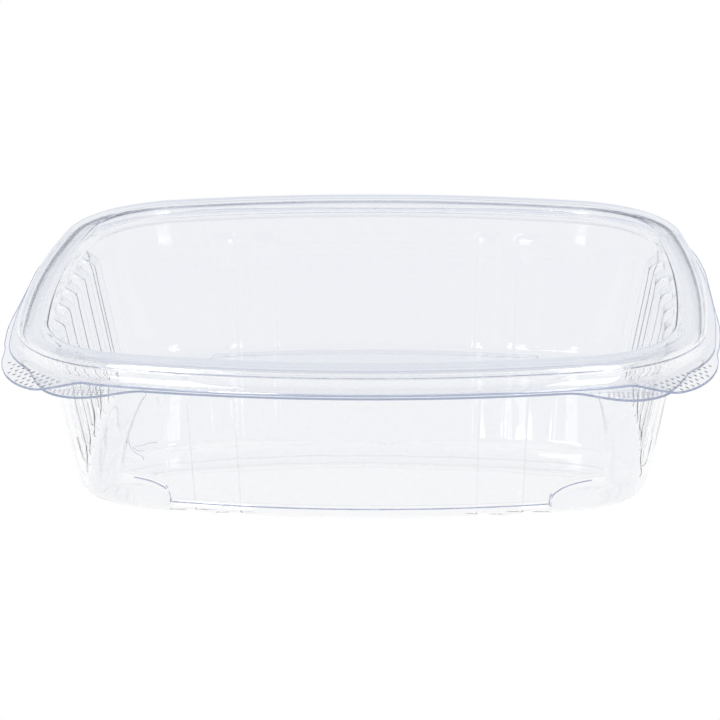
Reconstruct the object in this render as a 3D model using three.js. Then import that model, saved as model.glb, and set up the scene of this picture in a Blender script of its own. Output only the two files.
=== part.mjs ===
// A shut takeaway meal container of clear formed plastic: a tray with fluted walls and a ring-beaded
// lid, joined along the back edge by a thin fold. Millimetres, +Z up, front towards -Y.
// The origin is the middle of the footprint, on the surface that the container stands on.
import * as THREE from "three";

// Plan of the lid's ring bead, seen from above: four bowed sides joined by corner arcs.
const RING_HALF_WIDTH = 88.5;
const RING_HALF_DEPTH = 78;
const LONG_SIDE_BOW = 14.4; // how far a front or back arc falls over the half width
const SHORT_SIDE_BOW = 8.5; // how far a left or right arc falls over the half depth
const CORNER_RADIUS = 34;

// Heights and the formed sheet.
const FLANGE_TOP = 38.8; // upper face of the tray's flange
const SHEET = 0.5;
const MITRE_LIMIT = 0.5; // keeps the sheet from running to a spike at a tight bend
const LID_GAP = 0.3; // between the two flanges
const LID_FLANGE_TOP = FLANGE_TOP + LID_GAP + SHEET;
const LID_PANEL_TOP = 42;
const RING_TOP = 45.1;
const FLOOR_LIFT = 1.6; // how far the floor stands above the feet

// Flanges, measured outwards from the ring's outer edge.
const FLANGE = 3;

// Where a flange stands out further than that: it slopes out from rise to crest and back from turn
// to end, all as distances along the plan from the middle of a short side.
const LID_BULGES = {
  front: [
    { rise: 8, crest: 36, turn: 52, end: 66, reach: 1.1 }, // the lid's side edge
    { rise: 46, crest: 71, turn: 72, end: 79, reach: 9.6 }, // the opening tab
  ],
  back: [{ rise: 0, crest: 20, turn: 28, end: 44, reach: 0.65 }],
};
const TRAY_BULGES = {
  front: [{ rise: 60, crest: 78, turn: 79, end: 94, reach: 8.3 }],
  back: [],
};

// The fold at the back.
const FOLD_RADIUS = 0.28;
const FOLD_HALF_LENGTH = 50;
const FOLD_Y = RING_HALF_DEPTH + FLANGE - FOLD_RADIUS;
const FOLD_Z = FLANGE_TOP + LID_GAP / 2;
const FOLD_EDGE_Y = FOLD_Y - FOLD_RADIUS - 0.34; // both flanges end clear of the fold
const FOLD_BLEND = 8; // over this length the straight edge runs back into the bowed one
const FOLD_SIDES = 10;

// Tray wall. Offsets run from the ring's outer edge, negative inwards.
const WALL_TOP_OFFSET = -6.55;
const WALL_DRAFT = 0.181; // how far the wall leans inwards for each millimetre down
const BAND_LOW = 35.2; // the plain band under the flange ends in a small groove here
const FLUTE_TOP = 33.4;
const WALL_LOW = 4;
const RIB_BEND = 37.4; // the ribs start right under the rim and turn down here
const RIB_PITCH = 13.48;
const RIB_COUNT = 4; // on each half of a short wall, the first half a pitch from its middle
const RIB_HALF_CREST = 3.1;
const RIB_HALF_FOOT = 4.1;
const RIB_DEPTH = 2.9;
const FLUTE_DEPTH = 1.2;
const FLUTE_EDGE = 0.6;
const FLUTES = [ // grooves in the long walls, as distances from the wall's middle
  [30.7, 37.2],
  [42.9, 49.8],
];
const FLUTE_LIFT = 1.4; // the grooves end this far above the feet

// Floor panel: parallel to the walls, with a round notch for the foot at each corner.
const FLOOR_FRONT_OFFSET = -18.1;
const FLOOR_SIDE_OFFSET = -23.7;
const FLOOR_STEP_RUN = 0.6;
const FOOT_CENTRE = new THREE.Vector2(64.5, 55);
const FOOT_RADIUS = 16.5;

// Facets of the plan in one quarter. Each stretch has its own number of steps.
const TRAY_CORNER = { from: 53, to: 91.5, steps: 11 };
const TRAY_MIDDLE = { reach: 24, steps: 3 }; // the plain middle of a long wall
const LID_STEPS = { side: 4, corner: 12, front: 5 };
const LID_FRONT_REACH = 54;

// The quarter plan: a short-side arc, a corner arc and a long-side arc that meet without a kink.
function archRadius(halfLength, bow) {
  return (halfLength * halfLength + bow * bow) / (2 * bow);
}

const longRadius = archRadius(RING_HALF_WIDTH, LONG_SIDE_BOW);
const shortRadius = archRadius(RING_HALF_DEPTH, SHORT_SIDE_BOW);
const longCentre = new THREE.Vector2(0, RING_HALF_DEPTH - longRadius);
const shortCentre = new THREE.Vector2(RING_HALF_WIDTH - shortRadius, 0);

// Where two circles cross, on the left of the way from the first centre to the second.
function crossingOfCircles(centreA, radiusA, centreB, radiusB) {
  const along = centreB.clone().sub(centreA);
  const distance = along.length();
  along.divideScalar(distance);
  const reach = (distance * distance + radiusA * radiusA - radiusB * radiusB) / (2 * distance);
  const side = Math.sqrt(radiusA * radiusA - reach * reach);
  return new THREE.Vector2(
    centreA.x + reach * along.x - side * along.y,
    centreA.y + reach * along.y + side * along.x,
  );
}

// The corner's centre is where the two side arcs' circles, drawn in by the corner radius, cross.
const cornerCentre = crossingOfCircles(
  shortCentre, shortRadius - CORNER_RADIUS, longCentre, longRadius - CORNER_RADIUS,
);
const cornerStart = cornerCentre.clone().sub(shortCentre).angle();
const cornerEnd = cornerCentre.clone().sub(longCentre).angle();
const shortLength = shortRadius * cornerStart;
const cornerLength = CORNER_RADIUS * (cornerEnd - cornerStart);
const quarterLength = shortLength + cornerLength + longRadius * (Math.PI / 2 - cornerEnd);

// A point of the quarter plan, at a distance along it from the middle of the short side.
function quarterPoint(along, offset) {
  let centre = shortCentre;
  let radius = shortRadius;
  let angle = along / shortRadius;
  if (along > shortLength + cornerLength) {
    centre = longCentre;
    radius = longRadius;
    angle = Math.PI / 2 - (quarterLength - along) / longRadius;
  } else if (along > shortLength) {
    centre = cornerCentre;
    radius = CORNER_RADIUS;
    angle = cornerStart + (along - shortLength) / CORNER_RADIUS;
  }
  const normal = new THREE.Vector2(Math.cos(angle), Math.sin(angle));
  return { normal, point: normal.clone().multiplyScalar(radius + offset).add(centre) };
}

// The floor panel's edge in the same quarter, moved outwards by grow.
function floorPoint(along, grow) {
  const frontRadius = longRadius + FLOOR_FRONT_OFFSET + grow;
  const sideRadius = shortRadius + FLOOR_SIDE_OFFSET + grow;
  const foot = FOOT_RADIUS - grow;
  const frontMeet = crossingOfCircles(longCentre, frontRadius, FOOT_CENTRE, foot);
  const sideMeet = crossingOfCircles(FOOT_CENTRE, foot, shortCentre, sideRadius);
  if (along <= shortLength) {
    const angle = sideMeet.clone().sub(shortCentre).angle() * (along / shortLength);
    return new THREE.Vector2(Math.cos(angle), Math.sin(angle)).multiplyScalar(sideRadius).add(shortCentre);
  }
  if (along >= shortLength + cornerLength) {
    const share = (quarterLength - along) / (quarterLength - shortLength - cornerLength);
    const lean = (Math.PI / 2 - frontMeet.clone().sub(longCentre).angle()) * share;
    return new THREE.Vector2(Math.sin(lean), Math.cos(lean)).multiplyScalar(frontRadius).add(longCentre);
  }
  const from = sideMeet.clone().sub(FOOT_CENTRE).angle();
  const to = frontMeet.clone().sub(FOOT_CENTRE).angle();
  const angle = from + (to - from) * ((along - shortLength) / cornerLength);
  return new THREE.Vector2(Math.cos(angle), Math.sin(angle)).multiplyScalar(foot).add(FOOT_CENTRE);
}

const { smoothstep } = THREE.MathUtils;

// 1 on a plateau around a centre, falling to 0 over its two slopes.
function plateau(value, centre, halfTop, halfFoot) {
  return 1 - smoothstep(Math.abs(value - centre), halfTop, halfFoot);
}

function shortWallRibs(along) {
  let depth = 0;
  for (let i = 0; i < RIB_COUNT; i += 1) {
    depth += plateau(along, (i + 0.5) * RIB_PITCH, RIB_HALF_CREST, RIB_HALF_FOOT);
  }
  return depth;
}

function longWallFlutes(along) {
  const fromMiddle = quarterLength - along;
  let depth = 0;
  for (const [near, far] of FLUTES) {
    const half = (far - near) / 2;
    depth += plateau(fromMiddle, (near + far) / 2, half - FLUTE_EDGE, half + FLUTE_EDGE);
  }
  return depth;
}

function bulgeReach(along, bulge) {
  const rising = smoothstep(along, bulge.rise, bulge.crest);
  return bulge.reach * rising * (1 - smoothstep(along, bulge.turn, bulge.end));
}

// How far a flange stands out at a place on the plan. The back edge runs straight along the fold.
function flangeReach(along, atBack, bulges) {
  const list = atBack ? bulges.back : bulges.front;
  const reach = list.reduce((sum, bulge) => sum + bulgeReach(along, bulge), FLANGE);
  if (!atBack) return reach;
  const { point, normal } = quarterPoint(along, 0);
  const share = 1 - smoothstep(point.x, FOLD_HALF_LENGTH, FOLD_HALF_LENGTH + FOLD_BLEND);
  if (share === 0) return reach;
  const straight = (FOLD_EDGE_Y - point.y) / normal.y;
  return reach + (straight - reach) * share;
}

// Places along the quarter plan. Ribs and flutes get one on each of their edges.
function evenSteps(from, to, count) {
  return Array.from({ length: count + 1 }, (_, i) => from + ((to - from) * i) / count);
}

function trayPlaces() {
  const places = [0];
  for (let i = 0; i < RIB_COUNT; i += 1) {
    const centre = (i + 0.5) * RIB_PITCH;
    for (const half of [-RIB_HALF_FOOT, -RIB_HALF_CREST, RIB_HALF_CREST, RIB_HALF_FOOT]) {
      places.push(centre + half);
    }
  }
  places.push(...evenSteps(TRAY_CORNER.from, TRAY_CORNER.to, TRAY_CORNER.steps));
  for (const [near, far] of FLUTES) {
    for (const edge of [near, far]) {
      places.push(quarterLength - edge - FLUTE_EDGE, quarterLength - edge + FLUTE_EDGE);
    }
  }
  places.push(...evenSteps(quarterLength - TRAY_MIDDLE.reach, quarterLength, TRAY_MIDDLE.steps));
  return places.sort((a, b) => a - b);
}

function lidPlaces() {
  const side = evenSteps(0, shortLength, LID_STEPS.side).slice(0, -1);
  const corner = evenSteps(shortLength, shortLength + cornerLength, LID_STEPS.corner);
  const front = evenSteps(quarterLength - LID_FRONT_REACH, quarterLength, LID_STEPS.front);
  return [...side, ...corner, ...front];
}

// A whole turn of the plan from one quarter: the quarter is mirrored into the other three.
function fullTurn(places) {
  const last = places.length - 1;
  const turn = [];
  for (const [signX, signY] of [[1, 1], [-1, 1], [-1, -1], [1, -1]]) {
    const forwards = signX === signY;
    for (let i = 0; i < last; i += 1) {
      turn.push({ along: places[forwards ? i : last - i], signX, signY });
    }
  }
  return turn;
}

// Unit normals of a section, to the left of its direction, lengthened where two runs meet at an
// angle so that the sheet keeps its thickness.
function sectionNormals(section) {
  const runs = section.slice(1).map((end, i) => {
    const dx = end.offset - section[i].offset;
    const dz = end.z - section[i].z;
    return new THREE.Vector2(-dz, dx).normalize();
  });
  return section.map((_, i) => {
    const before = runs[Math.max(i - 1, 0)];
    const after = runs[Math.min(i, runs.length - 1)];
    const normal = before.clone().add(after).normalize();
    return normal.divideScalar(Math.max(normal.dot(after), MITRE_LIMIT));
  });
}

// A formed sheet: the section of its upper face is swept round the plan, then again one sheet lower,
// and the two faces are closed at the flange's edge. The section runs from the middle outwards.
function formedSheet(section, places, place) {
  const turn = fullTurn(places);
  const count = turn.length;
  const normals = sectionNormals(section);
  const positions = [];
  const faces = [];
  for (const shift of [-SHEET, 0]) {
    positions.push(0, 0, section[0].z + shift);
    section.forEach((station, k) => {
      const offset = station.offset + normals[k].x * shift;
      const z = station.z + normals[k].y * shift;
      for (const stop of turn) {
        const spot = place(station, stop, offset, z);
        positions.push(stop.signX * spot.x, stop.signY * spot.y, spot.z);
      }
    });
  }
  const faceSize = 1 + section.length * count;
  const index = (face, k, i) => face * faceSize + 1 + k * count + (i % count);
  const add = (face, a, b, c) => faces.push(...(face ? [a, b, c] : [a, c, b]));
  for (const face of [0, 1]) {
    for (let i = 0; i < count; i += 1) {
      add(face, face * faceSize, index(face, 0, i), index(face, 0, i + 1));
      for (let k = 1; k < section.length; k += 1) {
        const [a, b] = [index(face, k - 1, i), index(face, k - 1, i + 1)];
        const [c, d] = [index(face, k, i), index(face, k, i + 1)];
        add(face, a, c, d);
        add(face, a, d, b);
      }
    }
  }
  const edge = section.length - 1;
  for (let i = 0; i < count; i += 1) {
    const [a, b] = [index(0, edge, i), index(0, edge, i + 1)];
    const [c, d] = [index(1, edge, i), index(1, edge, i + 1)];
    faces.push(a, b, d, a, d, c);
  }
  const geometry = new THREE.BufferGeometry();
  geometry.setAttribute("position", new THREE.Float32BufferAttribute(positions, 3));
  geometry.setIndex(faces);
  geometry.computeVertexNormals();
  return geometry;
}

function wallOffset(z) {
  return WALL_TOP_OFFSET - WALL_DRAFT * (FLANGE_TOP - z);
}

// The tray's inner face, from the floor panel out to the flange. rib and flute say how much of the
// ribs and grooves a station carries, lift how much of the grooves' raised ends.
const traySection = [
  { offset: FLOOR_FRONT_OFFSET - FLOOR_STEP_RUN, z: SHEET + FLOOR_LIFT, floor: -FLOOR_STEP_RUN },
  { offset: FLOOR_FRONT_OFFSET + FLOOR_STEP_RUN, z: SHEET, floor: FLOOR_STEP_RUN, lift: 1 },
  { offset: -16.2, z: SHEET, lift: 1 },
  { offset: -14.3, z: SHEET + 0.5, rib: 0.6, flute: 0.6, lift: 1 },
  { offset: -13.3, z: SHEET + 1.7, rib: 1, flute: 1, lift: 0.6 },
  { offset: wallOffset(WALL_LOW), z: WALL_LOW, rib: 1, flute: 1 },
  { offset: wallOffset(FLUTE_TOP), z: FLUTE_TOP, rib: 1, flute: 1 },
  { offset: -6.9, z: BAND_LOW, rib: 1.1 },
  { offset: -7.05, z: RIB_BEND, rib: 0.92 },
  { offset: -7.1, z: FLANGE_TOP - 0.1, rib: 0.26 },
  { offset: -6.2, z: FLANGE_TOP + 2.3 },
  { offset: -3.6, z: FLANGE_TOP + 2.8 },
  { offset: -1, z: FLANGE_TOP + 2.3 },
  { offset: -0.6, z: FLANGE_TOP },
  { offset: FLANGE, z: FLANGE_TOP, edge: true },
];

function placeOnTray(station, stop, offset, z) {
  const { along, signY } = stop;
  const lift = (station.lift ?? 0) * FLUTE_LIFT * longWallFlutes(along);
  if (station.floor !== undefined) {
    const grow = station.floor + offset - station.offset;
    const point = floorPoint(along, grow);
    return { x: point.x, y: point.y, z: z + lift };
  }
  const inwards = (station.rib ?? 0) * RIB_DEPTH * shortWallRibs(along)
    + (station.flute ?? 0) * FLUTE_DEPTH * longWallFlutes(along);
  const reach = station.edge ? flangeReach(along, signY > 0, TRAY_BULGES) - FLANGE : 0;
  const { point } = quarterPoint(along, offset - inwards + reach);
  return { x: point.x, y: point.y, z: z + lift };
}

// The lid's outer face, from the middle panel out over the ring bead to the flange.
const lidSection = [
  { offset: -8.7, z: LID_PANEL_TOP },
  { offset: -7.7, z: LID_PANEL_TOP + 0.3 },
  { offset: -7.1, z: RING_TOP - 0.9 },
  { offset: -6.3, z: RING_TOP - 0.2 },
  { offset: -3.4, z: RING_TOP },
  { offset: -0.7, z: RING_TOP - 0.2 },
  { offset: 0.1, z: RING_TOP - 0.8 },
  { offset: 0.8, z: LID_PANEL_TOP + 0.9 },
  { offset: 0.35, z: LID_PANEL_TOP + 0.4 },
  { offset: 0.35, z: LID_PANEL_TOP - 1.1 },
  { offset: 1.1, z: LID_FLANGE_TOP },
  { offset: FLANGE, z: LID_FLANGE_TOP, edge: true },
];

function placeOnLid(station, stop, offset, z) {
  const { along, signY } = stop;
  const reach = station.edge ? flangeReach(along, signY > 0, LID_BULGES) - FLANGE : 0;
  const { point } = quarterPoint(along, offset + reach);
  return { x: point.x, y: point.y, z };
}

function makeFold() {
  const geometry = new THREE.CylinderGeometry(
    FOLD_RADIUS, FOLD_RADIUS, 2 * FOLD_HALF_LENGTH, FOLD_SIDES,
  );
  return geometry.rotateZ(Math.PI / 2);
}

// Clear, faintly blue plastic for all three pieces.
function clearPlastic(colour) {
  return new THREE.MeshStandardMaterial({
    color: colour, roughness: 0.08, metalness: 0, transparent: true, opacity: 0.35,
  });
}

function namedMesh(name, geometry, material) {
  const mesh = new THREE.Mesh(geometry, material);
  mesh.name = name;
  return mesh;
}

const tray = namedMesh(
  "tray", formedSheet(traySection, trayPlaces(), placeOnTray), clearPlastic(0xe9edf6),
);
const lid = namedMesh(
  "lid", formedSheet(lidSection, lidPlaces(), placeOnLid), clearPlastic(0xe3e8f4),
);
const fold = namedMesh("hinge_fold", makeFold(), clearPlastic(0xdde3f0));
fold.position.set(0, FOLD_Y, FOLD_Z);

const container = new THREE.Group();
container.add(tray, lid, fold);

export default container;
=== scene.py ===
import math

import bmesh
import bpy
import numpy as np
from mathutils import Matrix, Vector


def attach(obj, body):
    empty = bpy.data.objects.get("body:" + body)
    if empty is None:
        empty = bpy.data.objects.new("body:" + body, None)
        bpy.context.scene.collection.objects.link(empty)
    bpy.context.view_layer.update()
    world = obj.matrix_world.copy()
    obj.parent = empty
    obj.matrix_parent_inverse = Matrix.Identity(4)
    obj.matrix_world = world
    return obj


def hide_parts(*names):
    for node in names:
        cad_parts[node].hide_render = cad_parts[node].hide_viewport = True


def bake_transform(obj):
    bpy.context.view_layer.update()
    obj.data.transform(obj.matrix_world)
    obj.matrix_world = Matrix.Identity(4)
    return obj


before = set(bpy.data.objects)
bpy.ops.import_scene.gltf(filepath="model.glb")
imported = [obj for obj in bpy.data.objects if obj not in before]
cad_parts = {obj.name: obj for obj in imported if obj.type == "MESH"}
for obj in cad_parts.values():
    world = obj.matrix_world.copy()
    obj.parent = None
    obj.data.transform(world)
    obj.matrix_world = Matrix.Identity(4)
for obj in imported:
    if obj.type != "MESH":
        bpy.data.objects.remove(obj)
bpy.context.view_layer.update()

# The tray is one sheet of clear plastic drawn down into a mould. Its plan is four bowed sides and
# corner arcs. The wall carries ribs at the ends and grooves at the front and back, the floor panel
# stands a little above four corner feet, and the rim is a bead with a flat flange around it.
MM = 0.001
RING_HALF_WIDTH, RING_HALF_DEPTH = 88.5, 78.0
LONG_SIDE_BOW, SHORT_SIDE_BOW, CORNER_RADIUS = 14.4, 8.5, 34.0
FLANGE_TOP, SHEET, WALL_SHEET, FLANGE, CUT = 38.8, 0.5, 0.2, 3.0, 0.2
FLOOR_FRONT_OFFSET, FLOOR_SIDE_OFFSET, FLOOR_TOP = -18.1, -23.7, 2.1
FOOT_CENTRE, FOOT_RADIUS = np.array([64.5, 55.0]), 16.5
RIB_PITCH, RIB_COUNT, RIB_HALF_CREST, RIB_HALF_FOOT, RIB_DEPTH = 13.48, 3, 3.0, 4.2, 2.9
FLUTES, FLUTE_EDGE, FLUTE_DEPTH, FLUTE_LIFT = [(30.7, 37.2), (42.9, 49.8)], 0.7, 0.9, 0.5
FOLD_Y, FOLD_Z, FOLD_RADIUS, FOLD_HALF_LENGTH, FOLD_BLEND = 80.72, 38.95, 0.28, 50.0, 8.0
FOLD_EDGE_Y = FOLD_Y - FOLD_RADIUS - 0.34  # both flanges end clear of the fold
TRAY_TAB = {"rise": 60.0, "crest": 78.0, "turn": 79.0, "end": 94.0, "reach": 8.3}


def arch_radius(half_length, bow):
    return (half_length ** 2 + bow ** 2) / (2 * bow)


def crossing(centre_a, radius_a, centre_b, radius_b):
    """Where two circles cross, on the left of the way from the first centre to the second."""
    along = centre_b - centre_a
    distance = np.hypot(*along)
    along = along / distance
    reach = (distance ** 2 + radius_a ** 2 - radius_b ** 2) / (2 * distance)
    side = math.sqrt(radius_a ** 2 - reach ** 2)
    return centre_a + reach * along + side * np.array([-along[1], along[0]])


def bearing(point, centre):
    """The direction from a centre to a point, from 0 to a full turn."""
    return math.atan2(point[1] - centre[1], point[0] - centre[0]) % (2 * math.pi)


long_radius = arch_radius(RING_HALF_WIDTH, LONG_SIDE_BOW)
short_radius = arch_radius(RING_HALF_DEPTH, SHORT_SIDE_BOW)
long_centre = np.array([0.0, RING_HALF_DEPTH - long_radius])
short_centre = np.array([RING_HALF_WIDTH - short_radius, 0.0])
corner_centre = crossing(
    short_centre, short_radius - CORNER_RADIUS, long_centre, long_radius - CORNER_RADIUS)
corner_start = bearing(corner_centre, short_centre)
corner_end = bearing(corner_centre, long_centre)
short_length = short_radius * corner_start
corner_length = CORNER_RADIUS * (corner_end - corner_start)
quarter_length = short_length + corner_length + long_radius * (math.pi / 2 - corner_end)


def on_arc(centre, radius, angle):
    normal = np.stack([np.cos(angle), np.sin(angle)], axis=1)
    return centre + normal * np.reshape(radius, (-1, 1)), normal


def plan_point(along, offset):
    """Points of the quarter plan and their outward normals, at distances along it."""
    on_side = along <= short_length
    on_front = along > short_length + corner_length
    angle = np.where(on_side, along / short_radius, np.where(
        on_front, math.pi / 2 - (quarter_length - along) / long_radius,
        corner_start + (along - short_length) / CORNER_RADIUS))
    radius = np.where(on_side, short_radius, np.where(on_front, long_radius, CORNER_RADIUS))
    centre = np.where(on_side[:, None], short_centre, np.where(
        on_front[:, None], long_centre, corner_centre))
    return on_arc(centre, radius + offset, angle)


def floor_point(along, grow):
    """Points of the floor panel's edge, which runs round a notch for the foot at each corner."""
    front, side, foot = (long_radius + FLOOR_FRONT_OFFSET + grow,
                         short_radius + FLOOR_SIDE_OFFSET + grow, FOOT_RADIUS - grow)
    front_meet = crossing(long_centre, front, FOOT_CENTRE, foot)
    side_meet = crossing(FOOT_CENTRE, foot, short_centre, side)
    share = np.clip((along - short_length) / corner_length, 0, 1)
    foot_from, foot_to = bearing(side_meet, FOOT_CENTRE), bearing(front_meet, FOOT_CENTRE)
    points = on_arc(FOOT_CENTRE, foot, foot_from + (foot_to - foot_from) * share)[0]
    near = np.clip(along / short_length, 0, 1)
    on_side = on_arc(short_centre, side, bearing(side_meet, short_centre) * near)[0]
    far = np.clip((quarter_length - along) / (quarter_length - short_length - corner_length), 0, 1)
    lean = math.pi / 2 - (math.pi / 2 - bearing(front_meet, long_centre)) * far
    on_front = on_arc(long_centre, front, lean)[0]
    points = np.where((along <= short_length)[:, None], on_side, points)
    return np.where((along >= short_length + corner_length)[:, None], on_front, points)


def smoothstep(value, low, high):
    share = np.clip((value - low) / (high - low), 0, 1)
    return share * share * (3 - 2 * share)


def plateau(value, centre, half_top, half_foot):
    return 1 - smoothstep(np.abs(value - centre), half_top, half_foot)


def ribs(along):
    return sum(plateau(along, (i + 0.5) * RIB_PITCH, RIB_HALF_CREST, RIB_HALF_FOOT)
               for i in range(RIB_COUNT))


def flutes(along):
    from_middle = quarter_length - along
    return sum(plateau(from_middle, (near + far) / 2, (far - near) / 2 - FLUTE_EDGE,
                       (far - near) / 2 + FLUTE_EDGE) for near, far in FLUTES)


def flange_reach(along, at_back, tab):
    tongue = tab["reach"] * smoothstep(along, tab["rise"], tab["crest"])
    tongue = tongue * (1 - smoothstep(along, tab["turn"], tab["end"]))
    ring, normal = plan_point(along, 0 * along)
    straight = (FOLD_EDGE_Y - ring[:, 1]) / np.maximum(normal[:, 1], 0.5)
    share = 1 - smoothstep(ring[:, 0], FOLD_HALF_LENGTH, FOLD_HALF_LENGTH + FOLD_BLEND)
    return np.where(at_back, FLANGE + (straight - FLANGE) * share, FLANGE + tongue)


WALL_TOP_OFFSET, WALL_DRAFT = -6.55, 0.181


def wall_offset(z):
    return WALL_TOP_OFFSET - WALL_DRAFT * (FLANGE_TOP - z)


# Each station: offset from the ring's edge, height, share of the floor's plan, relief of the ribs and
# of the grooves, lift of the grooves' ends, share of the flange's reach, and how far its bend runs.
TRAY_STATIONS = [
    (FLOOR_FRONT_OFFSET - 2.6, FLOOR_TOP, 1, 0, 0, 0, 0, 0),
    (FLOOR_FRONT_OFFSET - 0.6, FLOOR_TOP, 1, 0, 0, 0, 0, 0.5),
    (FLOOR_FRONT_OFFSET + 0.6, WALL_SHEET, 1, 0, 0, 0.2, 0, 0.5),
    (-16.4, WALL_SHEET, 0, 0, 0, 0.7, 0, 0.8),
    (-14.5, 0.9, 0, 0.12, 0.45, 0.9, 0, 1.0),
    (-13.4, FLOOR_TOP, 0, 0.45, 0.85, 0.6, 0, 0.8),
    (wall_offset(4.5), 4.5, 0, 0.82, 1, 0, 0, 1.8),
    (wall_offset(8), 8, 0, 1, 1, 0, 0, 1.5),
    (wall_offset(33.4), 33.4, 0, 1, 1, 0, 0, 1.2),
    (-6.95, 35.0, 0, 1.14, 0, 0, 0, 0.6),
    (-6.5, 36.9, 0, 1.18, 0, 0, 0, 0.9),
    (-5.95, 39.4, 0, 0, 0, 0, 0, 0.6),
    (-5.6, 43.0, 0, 0, 0, 0, 0, 1.2),
    (-3.4, 43.9, 0, 0, 0, 0, 0, 1.6),
    (-0.9, 43.2, 0, 0, 0, 0, 0, 1.1),
    (-0.6, FLANGE_TOP, 0, 0, 0, 0, 0, 0.6),
    (FLANGE - CUT, FLANGE_TOP, 0, 0, 0, 0, 1, 0),
    (FLANGE, FLANGE_TOP, 0, 0, 0, 0, 1, 0),
]
BEND_STEPS = 4
LONGEST_BEND = 0.48  # of the straight run on either side
SHARP = math.radians(40)  # the cut edges of the sheet stay sharp


def with_bends(stations):
    """The section with each corner drawn as a short curve. All but the last value are blended."""
    stations = np.array(stations, dtype=float)
    drawn = [stations[0, :-1]]
    for before, here, after in zip(stations[:-2], stations[1:-1], stations[2:]):
        if here[-1] == 0:
            drawn.append(here[:-1])
            continue
        run = [np.hypot(*(end[:2] - here[:2])) for end in (before, after)]
        back, ahead = [here[:-1] + (end[:-1] - here[:-1]) * min(here[-1] / length, LONGEST_BEND)
                       for end, length in zip((before, after), run)]
        for step in range(BEND_STEPS + 1):
            t = step / BEND_STEPS
            drawn.append((1 - t) ** 2 * back + 2 * t * (1 - t) * here[:-1] + t * t * ahead)
    drawn.append(stations[-1, :-1])
    return np.array(drawn)


def section_normals(section):
    """Unit normals on the upper side of a section of offsets and heights."""
    run = np.gradient(section[:, :2], axis=0)
    normal = np.stack([-run[:, 1], run[:, 0]], axis=1)
    return normal / np.hypot(*normal.T)[:, None]


def steps_between(low, high, size):
    return np.linspace(low, high, max(2, int(round((high - low) / size)) + 1))


CORNER_END, CORNER_STEP, FLANK_STEPS, GROOVE_STEPS = 96, 1.5, 9, 7
MIDDLE_REACH, MIDDLE_STEP = 29, 2.4


def tray_places():
    """Distances along a quarter: close together over each rib's and groove's flanks."""
    places = [steps_between(RIB_COUNT * RIB_PITCH, CORNER_END, CORNER_STEP), [0, quarter_length]]
    for i in range(RIB_COUNT):
        middle = (i + 0.5) * RIB_PITCH
        for side in (-1, 1):
            flank = np.linspace(RIB_HALF_CREST, RIB_HALF_FOOT, FLANK_STEPS)
            places.append(middle + side * flank)
            places.append(middle + side * RIB_HALF_CREST * np.array([0.4, 0.8]))
        places.append([middle])
    for edge in np.ravel(FLUTES):
        places.append(quarter_length - edge + np.linspace(-1, 1, GROOVE_STEPS) * FLUTE_EDGE)
    places.append(steps_between(quarter_length - MIDDLE_REACH, quarter_length, MIDDLE_STEP))
    return np.unique(np.round(np.concatenate(places), 3))


def whole_turn(places):
    """The quarter's places laid round the whole plan, with the signs of x and y in each quarter."""
    along, signs = [], []
    for sign_x, sign_y in ((1, 1), (-1, 1), (-1, -1), (1, -1)):
        quarter = places[:-1] if sign_x == sign_y else places[:0:-1]
        along.append(quarter)
        signs.append(np.tile([sign_x, sign_y], (len(quarter), 1)))
    return np.concatenate(along), np.concatenate(signs)


def tray_ring(station, along, signs):
    """One loop of the tray's mesh."""
    offset, z, floor, rib, flute, lift, edge = station
    groove = flutes(along)
    inwards = rib * RIB_DEPTH * ribs(along) + flute * FLUTE_DEPTH * groove
    reach = edge * (flange_reach(along, signs[:, 1] > 0, TRAY_TAB) - FLANGE)
    points = plan_point(along, offset - inwards + reach)[0]
    if floor > 0:
        points = points * (1 - floor) + floor_point(along, offset - FLOOR_FRONT_OFFSET) * floor
    return np.column_stack([points * signs, z + lift * FLUTE_LIFT * groove])


def closed_sheet(name, rings, middle_low, middle_high, plastic, edge_plastic):
    """A sheet from loops that run from the middle of the lower face, round the cut edge, to the top."""
    count = len(rings[0])
    vertices = np.concatenate([*rings, [middle_low, middle_high]]) * MM
    first, last = len(vertices) - 2, len(vertices) - 1
    faces = []
    for ring in range(len(rings) - 1):
        for i in range(count):
            j = (i + 1) % count
            low, high = ring * count, (ring + 1) * count
            faces.append((low + i, high + i, high + j, low + j))
    top = (len(rings) - 1) * count
    for i in range(count):
        j = (i + 1) % count
        faces.append((first, i, j))
        faces.append((last, top + j, top + i))
    mesh = bpy.data.meshes.new(name)
    mesh.from_pydata(vertices.tolist(), [], faces)
    mesh.materials.append(plastic)
    mesh.materials.append(edge_plastic)
    cut = (len(rings) // 2 - 1) * count
    mesh.polygons.foreach_set("material_index", [
        int(cut <= index < cut + 2 * count) for index in range(len(faces))])
    finish_mesh(mesh)
    piece = bpy.data.objects.new(name, mesh)
    bpy.context.scene.collection.objects.link(piece)
    return piece


def finish_mesh(mesh):
    """Turns every face outwards and smooths the shading."""
    work = bmesh.new()
    work.from_mesh(mesh)
    bmesh.ops.recalc_face_normals(work, faces=work.faces)
    work.to_mesh(mesh)
    work.free()
    mesh.shade_smooth()
    mesh.set_sharp_from_angle(angle=SHARP)


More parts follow.
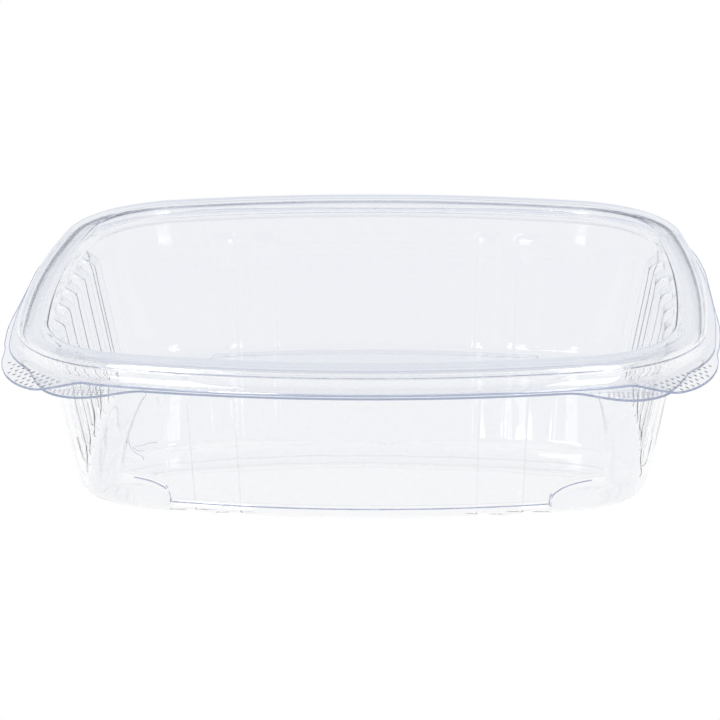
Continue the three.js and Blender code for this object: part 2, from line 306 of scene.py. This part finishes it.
class Wire:
    """A socket of a node tree. Sums written with it add Math nodes to its tree."""

    def __init__(self, tree, socket=None):
        self.tree = tree
        self.socket = socket

    def node(self, kind, settings=None, sockets=None, output=0):
        """Adds a node: its settings first, then each socket's value, wire or list of wires."""
        made = self.tree.nodes.new(kind)
        for name, value in (settings or {}).items():
            setattr(made, name, value)
        for name, value in (sockets or {}).items():
            if isinstance(value, Wire):
                self.tree.links.new(value.socket, made.inputs[name])
            elif isinstance(value, list):
                for wire in value:
                    self.tree.links.new(wire.socket, made.inputs[name])
            else:
                made.inputs[name].default_value = value
        return Wire(self.tree, made.outputs[output] if made.outputs else None)

    def math(self, operation, *values):
        return self.node("ShaderNodeMath", {"operation": operation}, dict(enumerate(values)))

    def __add__(self, other):
        return self.math("ADD", self, other)

    def __sub__(self, other):
        return self.math("SUBTRACT", self, other)

    def __rsub__(self, other):
        return self.math("SUBTRACT", other, self)

    def __mul__(self, other):
        return self.math("MULTIPLY", self, other)

    def __truediv__(self, other):
        return self.math("DIVIDE", self, other)

    def __rtruediv__(self, other):
        return self.math("DIVIDE", other, self)

    __radd__ = __add__
    __rmul__ = __mul__

    def ramp(self, low, high, smooth=True):
        """0 below low, 1 above high."""
        kind = "SMOOTHSTEP" if smooth else "LINEAR"
        return self.node("ShaderNodeMapRange", {"interpolation_type": kind},
                         {"Value": self, "From Min": low, "From Max": high})


def empty_material(name):
    material = bpy.data.materials.new(name)
    material.use_nodes = True
    material.node_tree.nodes.clear()
    return material, Wire(material.node_tree)


def clear_plastic(name, tint):
    """Clear sheet: it refracts, is faintly tinted, and keeps slow waves and fine scuffs."""
    material, start = empty_material(name)
    place = start.node("ShaderNodeTexCoord", output="Object")
    waves = start.node("ShaderNodeTexNoise", sockets={"Vector": place, "Scale": 70.0, "Detail": 1.0})
    grain = start.node("ShaderNodeTexNoise", sockets={"Vector": place, "Scale": 900.0, "Detail": 2.0})
    height = waves + grain * 0.004
    bump = start.node("ShaderNodeBump", sockets={
        "Strength": 0.03, "Distance": 0.0004, "Height": height}, output="Normal")
    mottle = grain.ramp(0.35, 0.75)
    shade = start.node("ShaderNodeMix", {"data_type": "RGBA"}, {
        0: mottle, 6: (*tint, 1), 7: (*[channel * 0.985 for channel in tint], 1)}, output=2)
    shader = start.node("ShaderNodeBsdfPrincipled", sockets={
        "Base Color": shade, "Roughness": 0.004 + 0.012 * mottle, "IOR": 1.57,
        "Transmission Weight": 1.0, "Normal": bump})
    start.node("ShaderNodeOutputMaterial", sockets={"Surface": shader})
    return material


def cut_edge(name, tint):
    """The cut edge of the sheet, painted darker and bluer with a ragged tone: painted shade for the
    light that runs through the sheet and leaves at its edge.
    """
    material, start = empty_material(name)
    place = start.node("ShaderNodeTexCoord", output="Object")
    ragged = start.node("ShaderNodeTexNoise", sockets={
        "Vector": place, "Scale": 400.0, "Detail": 2.0}).ramp(0.3, 0.7)
    shade = start.node("ShaderNodeMix", {"data_type": "RGBA"}, {
        0: ragged, 6: (*tint, 1), 7: (*[channel * 0.8 for channel in tint], 1)}, output=2)
    shader = start.node("ShaderNodeBsdfPrincipled", sockets={
        "Base Color": shade, "Roughness": 0.3 + 0.2 * ragged, "Alpha": 0.6 + 0.2 * ragged})
    start.node("ShaderNodeOutputMaterial", sockets={"Surface": shader})
    return material


places, signs = whole_turn(tray_places())
tray_section = with_bends(TRAY_STATIONS)
underside = tray_section.copy()
BEAD_INSIDE, BEAD_OUTSIDE = -6, -1  # offsets between which the drawn wall thickens to the full sheet
thickness = np.interp(tray_section[:, 0], [BEAD_INSIDE, BEAD_OUTSIDE], [WALL_SHEET, SHEET])
underside[:, :2] -= thickness[:, None] * section_normals(tray_section)
tray_rings = [tray_ring(station, places, signs) for station in underside]
tray_rings += [tray_ring(station, places, signs) for station in tray_section[::-1]]
tray_plastic = clear_plastic("clear_tray_plastic", (0.992, 0.994, 0.997))
# The sheet's cut edges get a slate colour of painted shade.
edge_plastic = cut_edge("cut_sheet_edge", (0.52, 0.58, 0.73))
tray = closed_sheet("tray_shell", tray_rings, (0, 0, underside[0, 1]), (0, 0, tray_section[0, 1]),
                    tray_plastic, edge_plastic)
tray.visible_shadow = False
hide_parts("tray")
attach(tray, "tray")

# The lid is formed from the same sheet: a flat panel inside a raised ring bead that snaps over the
# tray's rim, and a flange with two tabs. Its section is swept round the plan by Geometry Nodes.
LID_FLANGE_TOP, LID_PANEL_TOP, RING_TOP, CROWN = 39.6, 42.0, 45.1, 0.04
OUTER_STATIONS = [
    (0.25, RING_TOP - 0.4, 1.6),
    (0.85, LID_PANEL_TOP + 0.9, 0.5),
    (0.35, LID_PANEL_TOP + 0.4, 0.3),
    (0.35, LID_PANEL_TOP - 1.1, 0.6),
    (1.1, LID_FLANGE_TOP, 0.6),
    (FLANGE - CUT, LID_FLANGE_TOP, 0),
    (FLANGE, LID_FLANGE_TOP, 0),
]
SIDE_STATIONS = [
    (-11.5, LID_PANEL_TOP, 0),
    (-8.0, LID_PANEL_TOP, 0.7),
    (-7.0, RING_TOP - 0.4, 0.45),
    (-3.4, RING_TOP + CROWN, 2.4),  # the bend takes the crown off again
    *OUTER_STATIONS,
]
FRONT_STATIONS = [
    (-11.9, LID_PANEL_TOP, 0),
    (-8.5, LID_PANEL_TOP, 1.1),
    (-6.9, RING_TOP - 0.5, 1.6),
    (-3.4, RING_TOP + CROWN, 2.0),
    *OUTER_STATIONS,
]
FLANGE_FOOT = 1.1  # the flat flange starts at this offset
LID_SIZES = {
    "Quarter": quarter_length,
    "Flange": FLANGE, "Flange foot": FLANGE_FOOT, "Cut": CUT,
    "Front rise": 8.0, "Front crest": 36.0, "Front turn": 52.0, "Front end": 66.0, "Front reach": 1.1,
    "Back rise": 0.0, "Back crest": 20.0, "Back turn": 28.0, "Back end": 44.0, "Back reach": 0.59,
    "Tab rise": 46.0, "Tab crest": 71.0, "Tab turn": 72.0, "Tab end": 79.0, "Tab reach": 9.6,
    "Fold edge": FOLD_EDGE_Y, "Fold half length": FOLD_HALF_LENGTH, "Fold blend": FOLD_BLEND,
    "Side facing": 0.25, "Front facing": 0.75,
}


def sheet_profile(stations):
    """The outline of the sheet's section: out along the lower face, back along the upper one."""
    upper = with_bends(stations)
    return np.concatenate([upper - SHEET * section_normals(upper), upper[::-1]])


def drawn_curve(name, points, closed):
    curve = bpy.data.curves.new(name, "CURVE")
    curve.dimensions = "3D"
    spline = curve.splines.new("POLY")
    spline.points.add(len(points) - 1)
    for target, point in zip(spline.points, points):
        target.co = (*point, 1)
    spline.use_cyclic_u = closed
    made = bpy.data.objects.new(name, curve)
    bpy.context.scene.collection.objects.link(made)
    return made


def node_group(name, sizes, others):
    """An empty Geometry Nodes tree with named inputs, and a wire for each of them."""
    tree = bpy.data.node_groups.new(name, "GeometryNodeTree")
    face = tree.interface
    for label, kind in others.items():
        face.new_socket(name=label, in_out="INPUT", socket_type=kind)
    for label in sizes:
        face.new_socket(name=label, in_out="INPUT", socket_type="NodeSocketFloat")
    face.new_socket(name="Geometry", in_out="OUTPUT", socket_type="NodeSocketGeometry")
    entry = tree.nodes.new("NodeGroupInput")
    return tree, {socket.name: Wire(tree, socket) for socket in entry.outputs if socket.name}


def grown_mesh(name, tree, values):
    """Runs a tree on an empty mesh object and keeps the result as a plain mesh."""
    piece = bpy.data.objects.new(name, bpy.data.meshes.new(name))
    bpy.context.scene.collection.objects.link(piece)
    modifier = piece.modifiers.new("grow", "NODES")
    modifier.node_group = tree
    for item in tree.interface.items_tree:
        if item.in_out == "INPUT" and item.name in values:
            modifier[item.identifier] = values[item.name]
    graph = bpy.context.evaluated_depsgraph_get()
    mesh = bpy.data.meshes.new_from_object(piece.evaluated_get(graph), depsgraph=graph)
    piece.modifiers.remove(modifier)
    piece.data = mesh
    return piece


def lid_tree():
    tree, size = node_group("lid_sweep", LID_SIZES, {
        "Plan": "NodeSocketObject", "Side section": "NodeSocketObject",
        "Front section": "NodeSocketObject", "Plastic": "NodeSocketMaterial",
        "Cut edge": "NodeSocketMaterial"})
    start = Wire(tree)

    def keep(geometry, label, kind, value):
        return start.node("GeometryNodeStoreNamedAttribute", {"data_type": kind}, {
            "Geometry": geometry, "Name": label, "Value": value})

    def kept(label, kind):
        return start.node("GeometryNodeInputNamedAttribute", {"data_type": kind}, {"Name": label})

    def part(vector, axis):
        return start.node("ShaderNodeSeparateXYZ", sockets={"Vector": vector}, output=axis)

    plan = start.node("GeometryNodeObjectInfo", sockets={"Object": size["Plan"]}, output="Geometry")
    plan = start.node("GeometryNodeSetCurveNormal", {"mode": "Z_UP"}, {"Curve": plan})
    travelled = start.node("GeometryNodeSplineParameter", output="Length")
    tangent = start.node("GeometryNodeInputTangent")
    outward = start.node("ShaderNodeVectorMath", {"operation": "CROSS_PRODUCT"}, {
        0: tangent, 1: (0, 0, 1)})
    position = start.node("GeometryNodeInputPosition")
    plan = keep(plan, "travelled", "FLOAT", travelled)
    plan = keep(plan, "outward", "FLOAT_VECTOR", outward)
    plan = keep(plan, "ring", "FLOAT_VECTOR", position)
    section, front = [start.node("GeometryNodeObjectInfo", sockets={
        "Object": size[label + " section"]}, output="Geometry") for label in ("Side", "Front")]
    in_front = start.node("GeometryNodeSampleIndex", {"data_type": "FLOAT_VECTOR"}, {
        "Geometry": front, "Value": position, "Index": start.node("GeometryNodeInputIndex")})
    rounding = start.node("ShaderNodeVectorMath", {"operation": "SUBTRACT"}, {
        0: in_front, 1: position})
    section = keep(section, "rounding", "FLOAT_VECTOR", rounding)
    section = keep(section, "offset", "FLOAT", part(position, "X") / MM)
    swept = start.node("GeometryNodeCurveToMesh", sockets={
        "Curve": plan, "Profile Curve": section})

    along = start.math("PINGPONG", kept("travelled", "FLOAT") / MM, size["Quarter"])

    def bulge(label):
        rising = along.ramp(size[label + " rise"], size[label + " crest"])
        return size[label + " reach"] * rising * (
            1 - along.ramp(size[label + " turn"], size[label + " end"]))

    ring, outward = kept("ring", "FLOAT_VECTOR"), kept("outward", "FLOAT_VECTOR")
    at_back = start.math("GREATER_THAN", part(ring, "Y"), 0.0)
    facing = start.math("MAXIMUM", part(outward, "Y"), 0.5)
    straight = (size["Fold edge"] - part(ring, "Y") / MM) / facing
    from_middle = start.math("ABSOLUTE", part(ring, "X")) / MM
    by_fold = at_back * (1 - from_middle.ramp(
        size["Fold half length"], size["Fold half length"] + size["Fold blend"]))
    bowed = (bulge("Front") + bulge("Tab")) * (1 - at_back) + bulge("Back") * at_back
    extra = bowed + (straight - size["Flange"] - bowed) * by_fold
    share = kept("offset", "FLOAT").ramp(
        size["Flange foot"], size["Flange"] - size["Cut"], smooth=False)
    rounding = kept("rounding", "FLOAT_VECTOR")
    at_front = start.math("ABSOLUTE", part(outward, "Y")).ramp(
        size["Side facing"], size["Front facing"])
    out = start.node("ShaderNodeVectorMath", {"operation": "SCALE"}, {
        0: outward, "Scale": extra * share * MM + part(rounding, "X") * at_front})
    shift = start.node("ShaderNodeVectorMath", {"operation": "ADD"}, {
        0: out, 1: start.node("ShaderNodeCombineXYZ", sockets={
            "Z": -1.0 * part(rounding, "Y") * at_front})})
    shaped = start.node("GeometryNodeSetPosition", sockets={"Geometry": swept, "Offset": shift})
    solid = start.node("GeometryNodeRealizeInstances", sockets={"Geometry": shaped})
    dressed = start.node("GeometryNodeSetMaterial", sockets={
        "Geometry": solid, "Material": size["Plastic"]})
    at_edge = start.math(
        "GREATER_THAN", kept("offset", "FLOAT"), size["Flange"] - 0.6 * size["Cut"])
    dressed = start.node("GeometryNodeSetMaterial", sockets={
        "Geometry": dressed, "Selection": at_edge, "Material": size["Cut edge"]})
    start.node("NodeGroupOutput", sockets={"Geometry": dressed})
    return tree


lid_plastic = clear_plastic("clear_lid_plastic", (0.989, 0.991, 0.996))
SIDE_STEP, LID_CORNER_STEP = 1.2, 0.7
lid_places, lid_signs = whole_turn(np.unique(np.round(np.concatenate([
    steps_between(0, short_length, SIDE_STEP),
    steps_between(short_length, short_length + corner_length, LID_CORNER_STEP),
    steps_between(short_length + corner_length, quarter_length, SIDE_STEP)]), 4)))
plan_line = plan_point(lid_places, 0 * lid_places)[0] * lid_signs * MM
plan_curve = drawn_curve("plan", [(x, y, 0) for x, y in plan_line], True)
side_curve, front_curve = [drawn_curve("section", [
    (x, -z, 0) for x, z in sheet_profile(stations) * MM], False)
    for stations in (SIDE_STATIONS, FRONT_STATIONS)]
lid = grown_mesh("lid_shell", lid_tree(), {
    **LID_SIZES, "Plan": plan_curve, "Side section": side_curve, "Front section": front_curve,
    "Plastic": lid_plastic, "Cut edge": edge_plastic})
for helper in (plan_curve, side_curve, front_curve):
    bpy.data.objects.remove(helper)


def fill_panels(mesh):
    """Closes the two round openings that the sweep leaves in the middle."""
    work = bmesh.new()
    work.from_mesh(mesh)
    open_edges = [edge for edge in work.edges if edge.is_boundary]
    for top in (False, True):
        loop = [edge for edge in open_edges
                if (edge.verts[0].co.z > (LID_PANEL_TOP - SHEET / 2) * MM) == top]
        middle = work.verts.new((0, 0, loop[0].verts[0].co.z))
        for edge in loop:
            work.faces.new((*edge.verts, middle))
    work.to_mesh(mesh)
    work.free()


fill_panels(lid.data)
finish_mesh(lid.data)
lid.visible_shadow = False
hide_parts("lid")
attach(lid, "lid")

# The tabs' grips are rows of small raised dashes, pressed into the sheet. Each grid lies square to
# its tab's own direction, the dashes lean, and none comes close to the tab's edge.
LID_GRIP = {
    "Rows": 4, "Columns": 12, "Row pitch": 2.15, "Pitch": 1.97, "First row": 4.2, "First column": -11.9,
    "Direction": 0.796, "Lean": 0.33, "Margin": 1.1, "Length": 1.75, "Width": 0.55, "Rise": 0.3,
    "Face": LID_FLANGE_TOP, "Corner radius": CORNER_RADIUS, "Corner start": corner_start,
    "Centre X": corner_centre[0], "Centre Y": corner_centre[1], "Short side": short_length,
    **{label: LID_SIZES[label] for label in
       ("Flange", "Tab rise", "Tab crest", "Tab turn", "Tab end", "Tab reach")},
}
TRAY_GRIP = {
    **LID_GRIP, "Rows": 4, "Columns": 15, "Row pitch": 1.4, "Pitch": 1.15, "First row": 3.7,
    "First column": -24.5, "Direction": math.pi / 2, "Lean": 0.5, "Margin": 1.0, "Length": 0.9,
    "Width": 0.5, "Rise": 0.14, "Face": FLANGE_TOP,
    "Tab rise": TRAY_TAB["rise"], "Tab crest": TRAY_TAB["crest"], "Tab turn": TRAY_TAB["turn"],
    "Tab end": TRAY_TAB["end"], "Tab reach": TRAY_TAB["reach"],
}


def grip_tree():
    tree, size = node_group("tab_grip", LID_GRIP, {"Plastic": "NodeSocketMaterial"})
    start = Wire(tree)
    deep = (size["Rows"] - 1) * size["Row pitch"]
    across = (size["Columns"] - 1) * size["Pitch"]
    grid = start.node("GeometryNodeMeshGrid", sockets={
        "Size X": deep, "Size Y": across, "Vertices X": size["Rows"], "Vertices Y": size["Columns"]})
    to_centre = start.node("ShaderNodeCombineXYZ", sockets={
        "X": size["Corner radius"] + size["First row"] + 0.5 * deep,
        "Y": size["First column"] + 0.5 * across})
    grid = start.node("GeometryNodeTransform", sockets={"Geometry": grid, "Translation": to_centre})
    place = start.node("GeometryNodeInputPosition")
    x = start.node("ShaderNodeSeparateXYZ", sockets={"Vector": place}, output="X")
    y = start.node("ShaderNodeSeparateXYZ", sockets={"Vector": place}, output="Y")
    radius = start.math("SQRT", x * x + y * y)
    angle = size["Direction"] + start.math("ARCTAN2", y, x)
    along = size["Short side"] + (angle - size["Corner start"]) * size["Corner radius"]
    tab = size["Tab reach"] * along.ramp(size["Tab rise"], size["Tab crest"])
    tab = tab * (1 - along.ramp(size["Tab turn"], size["Tab end"]))
    room_left = size["Corner radius"] + size["Flange"] + tab - size["Margin"] - radius
    grid = start.node("GeometryNodeDeleteGeometry", sockets={
        "Geometry": grid, "Selection": start.math("LESS_THAN", room_left, 0.0)})
    bump = start.node("GeometryNodeMeshUVSphere", sockets={
        "Segments": 8, "Rings": 5, "Radius": 0.5 * MM}, output="Mesh")
    bump = start.node("GeometryNodeSetShadeSmooth", sockets={"Geometry": bump})
    stretch = start.node("ShaderNodeCombineXYZ", sockets={
        "X": size["Length"], "Y": size["Width"], "Z": size["Rise"]})
    sides = []
    for side in (1, -1):
        spot = start.node("ShaderNodeCombineXYZ", sockets={
            "X": (size["Centre X"] + radius * start.math("COSINE", angle)) * side * MM,
            "Y": (size["Centre Y"] + radius * start.math("SINE", angle)) * -MM,
            "Z": size["Face"] * MM})
        turn = start.node("ShaderNodeCombineXYZ", sockets={
            "Z": (size["Direction"] + size["Lean"]) * -side})
        dots = start.node("GeometryNodeSetPosition", sockets={"Geometry": grid, "Position": spot})
        placed = start.node("GeometryNodeInstanceOnPoints", sockets={
            "Points": dots, "Instance": bump, "Rotation": turn, "Scale": stretch})
        sides.append(placed)
    both = start.node("GeometryNodeJoinGeometry", sockets={"Geometry": sides})
    solid = start.node("GeometryNodeRealizeInstances", sockets={"Geometry": both})
    dressed = start.node("GeometryNodeSetMaterial", sockets={
        "Geometry": solid, "Material": size["Plastic"]})
    start.node("NodeGroupOutput", sockets={"Geometry": dressed})
    return tree


grips = grip_tree()
for name, sizes, plastic, body, finish in (
        ("lid_grip", LID_GRIP, lid_plastic, "lid", "lid_plastic"),
        ("tray_grip", TRAY_GRIP, tray_plastic, "tray", "tray_plastic")):
    grip = grown_mesh(name, grips, {**sizes, "Plastic": plastic})
    grip.visible_shadow = False
    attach(grip, body)

# Handling has left a few hair-fine scratches in the front wall. Each is a thin line on its outer face.
SCRATCHES = [
    [(-57.5, -62.6, 20.7), (-57.3, -62.6, 20.3), (-57.0, -62.6, 20.1), (-56.7, -62.8, 20.7)],
    [(-56.7, -62.7, 20.1), (-56.4, -62.5, 18.8), (-55.1, -62.5, 17.2), (-53.5, -62.7, 16.4),
     (-53.3, -62.5, 15.4)],
    [(-55.9, -62.7, 19.0), (-55.1, -62.7, 18.2), (-54.1, -62.9, 18.0), (-52.9, -63.1, 18.1)],
    [(-55.3, -62.8, 19.2), (-53.5, -63.3, 19.6), (-51.4, -63.9, 20.5), (-49.6, -64.3, 20.8)],
]
SCRATCH_SIZES = {"Thickness": 0.13, "Smoothness": 6.0}


def mark_tree():
    tree, size = node_group("mark", SCRATCH_SIZES, {
        "Line": "NodeSocketObject", "Plastic": "NodeSocketMaterial"})
    start = Wire(tree)
    line = start.node("GeometryNodeObjectInfo", sockets={"Object": size["Line"]}, output="Geometry")
    line = start.node("GeometryNodeCurveSplineType", {"spline_type": "CATMULL_ROM"}, {"Curve": line})
    line = start.node("GeometryNodeSetSplineResolution", sockets={
        "Geometry": line, "Resolution": size["Smoothness"]})
    ring = start.node("GeometryNodeCurvePrimitiveCircle", sockets={
        "Resolution": 5, "Radius": size["Thickness"] * 0.5 * MM})
    swept = start.node("GeometryNodeCurveToMesh", sockets={
        "Curve": line, "Profile Curve": ring, "Fill Caps": True})
    solid = start.node("GeometryNodeRealizeInstances", sockets={"Geometry": swept})
    dressed = start.node("GeometryNodeSetMaterial", sockets={
        "Geometry": solid, "Material": size["Plastic"]})
    start.node("NodeGroupOutput", sockets={"Geometry": dressed})
    return tree


mark = mark_tree()
# Slate for the scratches, which is their own look, and for the floor-edge line, which is painted shade.
scratch_and_shade_plastic = cut_edge("scratch_and_shade_plastic", (0.36, 0.42, 0.58))


def mark_tray(name, points, sizes):
    """A thin line on the tray's sheet through points in millimetres."""
    line = drawn_curve(name, [np.multiply(point, MM) for point in points], False)
    piece = grown_mesh(name, mark, {**sizes, "Line": line, "Plastic": scratch_and_shade_plastic})
    bpy.data.objects.remove(line)
    finish_mesh(piece.data)
    piece.visible_shadow = False
    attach(piece, "tray")


for number, points in enumerate(SCRATCHES):
    mark_tray(f"scratch_{number}", points, SCRATCH_SIZES)

# The sheet is creased where the floor panel steps down to the feet, and along the front a thin slate
# line of painted shade stands for the dark line that the crease shows. It is drawn along the panel's
# edge, from one front foot to the other.
SHADE_LINE_SIZES = {"Thickness": 0.36, "Smoothness": 6.0}
SHADE_LINE_HEIGHT, SHADE_LINE_START, SHADE_LINE_STEPS = 1.5, 0.15, 60
half_shade_line = floor_point(np.linspace(
    short_length + SHADE_LINE_START * corner_length, quarter_length, SHADE_LINE_STEPS), 0.0)
left_half = [(-x, -y, SHADE_LINE_HEIGHT) for x, y in half_shade_line]
right_half = [(x, -y, SHADE_LINE_HEIGHT) for x, y in half_shade_line[-2::-1]]
mark_tray("floor_crease", [*left_half, *right_half], SHADE_LINE_SIZES)

# The fold is the scored strip of the same sheet that joins both flanges at the back.
FILM, FILM_STEP, BLEND_REACH = 0.2, 4, 0.3
FILM_PATH = [(-0.62, -0.4), (-0.3, -0.4), (0.0, -0.34), (0.14, -0.16), (0.16, 0.0),
             (0.14, 0.16), (0.0, 0.34), (-0.3, 0.4), (-0.62, 0.4)]


def fold_film():
    path = np.array(FILM_PATH)
    run = np.gradient(path, axis=0)
    out = np.stack([-run[:, 1], run[:, 0]], axis=1) / np.hypot(*run.T)[:, None] * FILM / 2
    loop = np.concatenate([path + out, (path - out)[::-1]]) + [FOLD_Y, FOLD_Z]
    count = len(loop)
    xs = steps_between(-FOLD_HALF_LENGTH, FOLD_HALF_LENGTH, FILM_STEP)
    vertices = [(x * MM, y * MM, z * MM) for x in xs for y, z in loop]
    faces = [(s * count + i, s * count + (i + 1) % count,
              (s + 1) * count + (i + 1) % count, (s + 1) * count + i)
             for s in range(len(xs) - 1) for i in range(count)]
    half = count // 2
    for start in (0, (len(xs) - 1) * count):
        faces += [(start + i, start + i + 1, start + count - 2 - i, start + count - 1 - i)
                  for i in range(half - 1)]
    mesh = bpy.data.meshes.new("fold_film")
    mesh.from_pydata(vertices, [], faces)
    finish_mesh(mesh)
    piece = bpy.data.objects.new("fold_film", mesh)
    bpy.context.scene.collection.objects.link(piece)
    return piece


fold = fold_film()
fold.data.materials.append(tray_plastic)
fold.visible_shadow = False
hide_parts("hinge_fold")
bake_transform(fold)

# The studio: a white floor that glows with painted light, a pale room around it, and four soft boxes
# whose reflections show in the beads.
floor_mesh = bpy.data.meshes.new("studio_floor")
FLOOR_HALF = 6.0
floor_mesh.from_pydata([(-FLOOR_HALF, -FLOOR_HALF, 0), (FLOOR_HALF, -FLOOR_HALF, 0),
                        (FLOOR_HALF, FLOOR_HALF, 0), (-FLOOR_HALF, FLOOR_HALF, 0)],
                       [], [(0, 1, 2, 3)])
floor = bpy.data.objects.new("studio_floor", floor_mesh)
bpy.context.scene.collection.objects.link(floor)
floor_paint, floor_start = empty_material("white_floor")
from_middle = floor_start.node("ShaderNodeVectorMath", {"operation": "LENGTH"}, {
    0: floor_start.node("ShaderNodeTexCoord", output="Object")}, output="Value")
# Painted light: the floor's glow is full white out to 0.7 m and fades to grey by 2.2 m, a painted pool
# of light.
floor_light = floor_start.node("ShaderNodeMix", {"data_type": "RGBA"}, {
    0: from_middle.ramp(0.7, 2.2), 6: (1, 1, 1, 1), 7: (0.78, 0.8, 0.84, 1)}, output=2)
floor_shader = floor_start.node("ShaderNodeBsdfPrincipled", sockets={
    "Base Color": (0, 0, 0, 1), "Roughness": 1.0, "Specular IOR Level": 0.0,
    "Emission Color": floor_light, "Emission Strength": 1.0})
floor_start.node("ShaderNodeOutputMaterial", sockets={"Surface": floor_shader})
floor_mesh.materials.append(floor_paint)

world = bpy.data.worlds.new("studio")
world.use_nodes = True
world.node_tree.nodes.clear()
room = Wire(world.node_tree)
direction = room.node("ShaderNodeTexCoord", output="Generated")
above = room.node("ShaderNodeSeparateXYZ", sockets={"Vector": direction}, output="Z")
glow = room.node("ShaderNodeMix", {"data_type": "RGBA"}, {
    0: above.ramp(0.2, 0.65), 6: (0.75, 0.783, 0.853, 1), 7: (0.46, 0.5, 0.62, 1)}, output=2)
background = room.node("ShaderNodeBackground", sockets={"Color": glow, "Strength": 1.0})
room.node("ShaderNodeOutputWorld", sockets={"Surface": background})
bpy.context.scene.world = world


def soft_box(name, place, target, width, height, power):
    lamp = bpy.data.lights.new(name, "AREA")
    lamp.shape, lamp.size, lamp.size_y, lamp.energy = "RECTANGLE", width, height, power
    made = bpy.data.objects.new(name, lamp)
    aim = (Vector(target) - Vector(place)).to_track_quat("-Z", "Y")
    made.matrix_world = Matrix.Translation(place) @ aim.to_matrix().to_4x4()
    bpy.context.scene.collection.objects.link(made)


MIDDLE, LEVEL_WITH_FRONT = (0, 0, 0.04), (0, 0, 0.56)
soft_box("front_right_box", (0.50, -0.77, 0.56), LEVEL_WITH_FRONT, 0.28, 0.8, 2.1)
soft_box("front_left_box", (-0.44, -0.80, 0.56), LEVEL_WITH_FRONT, 0.20, 0.8, 1.5)
soft_box("left_box", (-0.51, -0.87, 1.11), MIDDLE, 0.34, 0.1, 0.9)
soft_box("right_box", (0.54, -0.63, 1.25), MIDDLE, 0.12, 0.12, 0.4)

# The camera stands where the photograph was taken from.
CAMERA_PLACE, CAMERA_FOCAL_PIXELS, PICTURE = (0.02656, -0.64887, 0.2483), 2549.9, 720
PITCH, YAW, ROLL = 0.338, -0.044, -0.010
look = Vector((math.sin(YAW) * math.cos(PITCH), math.cos(YAW) * math.cos(PITCH), -math.sin(PITCH)))
right = Vector((math.cos(YAW), -math.sin(YAW), 0))
up = right.cross(look)
camera_right = math.cos(ROLL) * right + math.sin(ROLL) * up
camera_up = math.cos(ROLL) * up - math.sin(ROLL) * right
lens = bpy.data.cameras.new("camera")
lens.sensor_fit, lens.sensor_width = "HORIZONTAL", 36
lens.lens = CAMERA_FOCAL_PIXELS / PICTURE * lens.sensor_width
camera = bpy.data.objects.new("camera", lens)
camera.matrix_world = Matrix.Translation(CAMERA_PLACE) @ Matrix(
    (camera_right, camera_up, -look)).transposed().to_4x4()
bpy.context.scene.collection.objects.link(camera)
bpy.context.scene.camera = camera

scene = bpy.context.scene
scene.view_settings.view_transform = "Standard"
scene.cycles.max_bounces = 40
scene.cycles.transmission_bounces = 40
scene.cycles.glossy_bounces = 12
scene.cycles.transparent_max_bounces = 40
